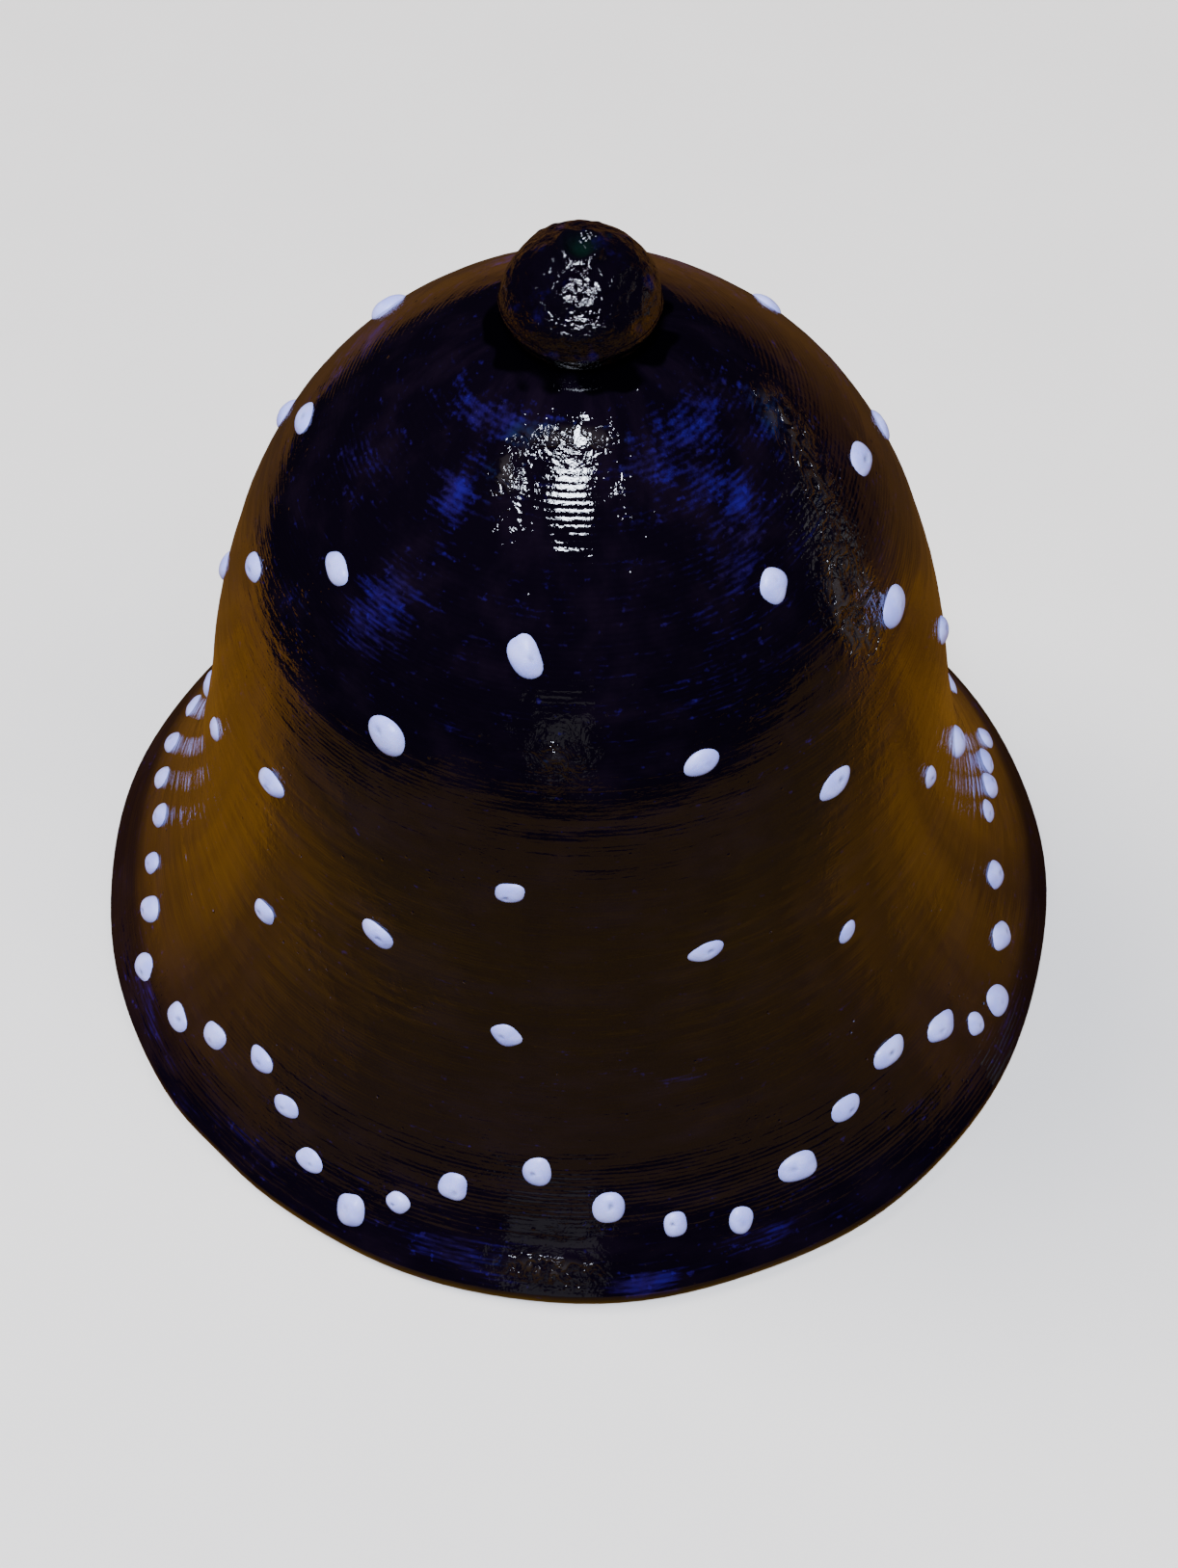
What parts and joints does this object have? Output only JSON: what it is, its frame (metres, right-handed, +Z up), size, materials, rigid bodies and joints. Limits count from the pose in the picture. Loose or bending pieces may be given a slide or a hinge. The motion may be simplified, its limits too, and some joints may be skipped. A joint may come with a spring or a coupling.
{
  "type": "glass bell",
  "caption": "Small hand-painted table bell with a flared lip, a bead knob on its crown and a ball clapper on a short chain.",
  "frame": {"origin": "on the bell's axis, on the surface the rim stands on", "axes": "+Z up along the bell's axis; the picture looks along +Y, and the hanger pin's eye lies in the XZ plane"},
  "size_m": [0.07, 0.07, 0.0636],
  "materials": {
    "cobalt_glass": "opaque deep cobalt, brushed on in fine rings under a thick wet gloss",
    "white_paint": "raised drops of white paint, satin",
    "steel_wire": "drawn wire",
    "washer_steel": "stamped, plain",
    "small_brass": "machined",
    "dark_felt": "pressed felt",
    "clapper_brass": "polished"
  },
  "bodies": {
    "bell": {"bell_body": "cobalt_glass", "knob": "cobalt_glass", "hanger_pin": "steel_wire", "seat_cushion": "dark_felt", "clamp_washer": "washer_steel", "clamp_nut": "small_brass"},
    "link_1": {"chain_link_1": "steel_wire"},
    "link_2": {"chain_link_2": "steel_wire"},
    "link_3": {"chain_link_3": "steel_wire"},
    "clapper": {"clapper_stem": "steel_wire", "clapper_ball": "clapper_brass", "clapper_collar_upper": "small_brass", "clapper_collar_lower": "small_brass"}
  },
  "joints": [
    {"name": "link_1_swing", "type": "hinge", "parent": "bell", "child": "link_1", "pos_m": [0, 0, 0.0432], "axis": [1, 0, 0], "range_deg": [-16, 16]},
    {"name": "link_2_swing", "type": "hinge", "parent": "link_1", "child": "link_2", "pos_m": [0, 0, 0.0397], "axis": [0, 1, 0], "range_deg": [-16, 16]},
    {"name": "link_3_swing", "type": "hinge", "parent": "link_2", "child": "link_3", "pos_m": [0, 0, 0.036], "axis": [1, 0, 0], "range_deg": [-16, 16]},
    {"name": "clapper_swing", "type": "hinge", "parent": "link_3", "child": "clapper", "pos_m": [0, 0, 0.0323], "axis": [0, 1, 0], "range_deg": [-16, 16]}
  ]
}
